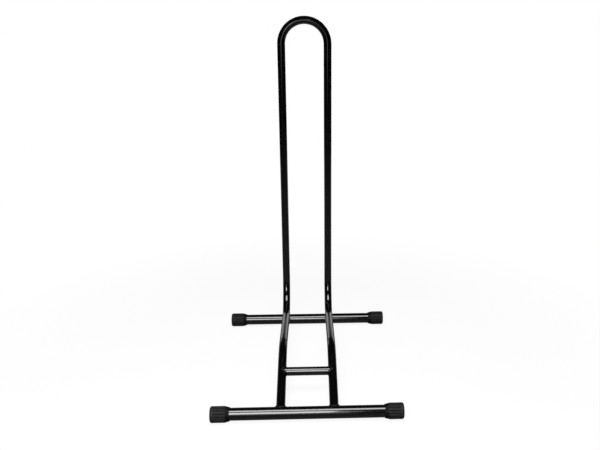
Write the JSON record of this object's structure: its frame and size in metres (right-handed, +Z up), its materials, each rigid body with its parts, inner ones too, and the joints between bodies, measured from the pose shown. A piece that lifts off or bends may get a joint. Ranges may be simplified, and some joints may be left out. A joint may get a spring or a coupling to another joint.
{
  "type": "floor bike rack",
  "caption": "Freestanding bent-tube floor rack that holds a bicycle wheel between two uprights joined in a tall hoop, standing on ribbed rubber caps.",
  "frame": {"origin": "middle of the rack's footprint, on the floor", "axes": "+X across the rack along the base tubes, +Y from the front base tube towards the tall hoop, +Z up"},
  "size_m": [0.338, 0.4483, 0.668],
  "materials": {
    "black_paint": "gloss black paint on steel tube",
    "cap_rubber": "matt moulded rubber"
  },
  "bodies": {
    "root": {"hoop_tube": "black_paint", "front_base_tube": "black_paint", "rear_base_tube": "black_paint", "crossbar": "black_paint", "frame_welds": "black_paint", "front_left_cap": "cap_rubber", "front_right_cap": "cap_rubber", "rear_left_cap": "cap_rubber", "rear_right_cap": "cap_rubber"}
  },
  "joints": []
}
